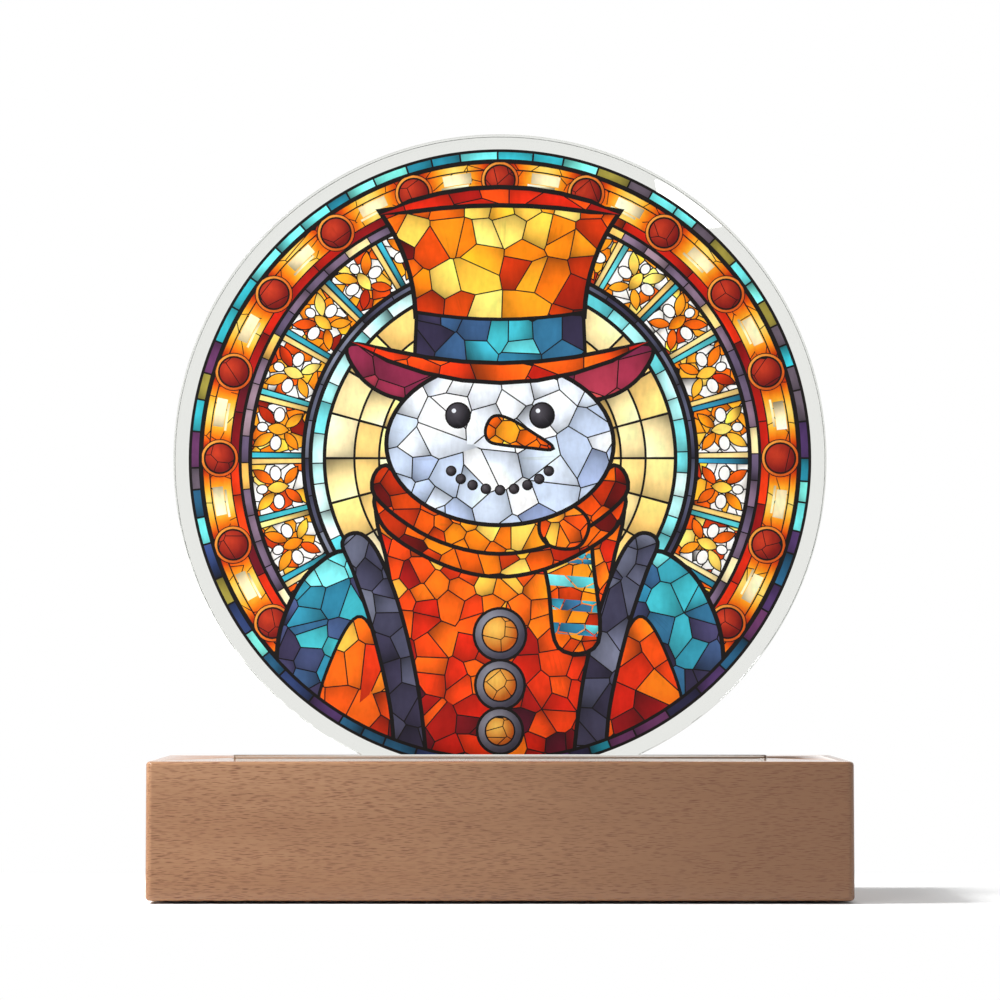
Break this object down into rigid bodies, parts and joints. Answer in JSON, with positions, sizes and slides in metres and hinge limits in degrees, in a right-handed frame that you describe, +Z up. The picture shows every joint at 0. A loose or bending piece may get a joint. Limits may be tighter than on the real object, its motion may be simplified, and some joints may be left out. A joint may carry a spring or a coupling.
{
  "type": "lit acrylic plaque on wooden base",
  "caption": "Round printed acrylic plaque with a stained-glass style winter roundel, standing by its foot in a rectangular beech base that lights it from below.",
  "frame": {"origin": "on the table, under the middle of the wooden base", "axes": "+X to the right along the base, -Y out of the printed front, +Z up"},
  "size_m": [0.15, 0.043, 0.167],
  "materials": {
    "beech": "fine sanded, thin satin oil",
    "clear_acrylic": "clear cast sheet with flame-polished edge",
    "white_ink": "cured opaque white ink",
    "colour_ink": "cured colour ink, satin",
    "black_plastic": "fine moulded texture",
    "grey_plastic": "smooth moulded",
    "board": "white solder mask",
    "lamp": "white housing with yellow phosphor",
    "steel": "nickel plated",
    "pad_rubber": "matt",
    "red_wire": "soft insulation"
  },
  "bodies": {
    "base": {"base_block": "beech", "bottom_cover": "black_plastic", "cover_screw_1": "steel", "cover_screw_2": "steel", "cover_screw_3": "steel", "cover_screw_4": "steel", "foot_pad_1": "pad_rubber", "foot_pad_2": "pad_rubber", "foot_pad_3": "pad_rubber", "foot_pad_4": "pad_rubber", "rear_bezel": "black_plastic", "bezel_screw_1": "steel", "bezel_screw_2": "steel", "led_board": "board", "led_1": "lamp", "led_2": "lamp", "led_3": "lamp", "led_4": "lamp", "led_5": "lamp", "led_6": "lamp", "led_7": "lamp", "led_8": "lamp", "led_resistor_1": "black_plastic", "led_resistor_2": "black_plastic", "led_board_screw_1": "steel", "led_board_screw_2": "steel", "control_board": "board", "control_chip": "black_plastic", "control_board_screw_1": "steel", "control_board_screw_2": "steel", "inlet_shell": "steel", "inlet_tongue": "black_plastic", "switch_body": "grey_plastic", "switch_spring": "steel", "wire_red": "red_wire", "wire_black": "black_plastic"},
    "plaque": {"acrylic_plaque": "clear_acrylic", "white_ink_layer": "white_ink", "colour_ink_layer": "colour_ink"},
    "button": {"switch_button": "grey_plastic"}
  },
  "joints": [
    {"name": "plaque_lift", "type": "slide", "parent": "base", "child": "plaque", "axis": [0, 0, 1], "range_m": [0, 0.03]},
    {"name": "button_press", "type": "slide", "parent": "base", "child": "button", "axis": [0, -1, 0], "range_m": [0, 0.0012], "stiffness_N_per_m": 800, "springref_m": -0.0005, "deforming": ["switch_spring"]}
  ]
}
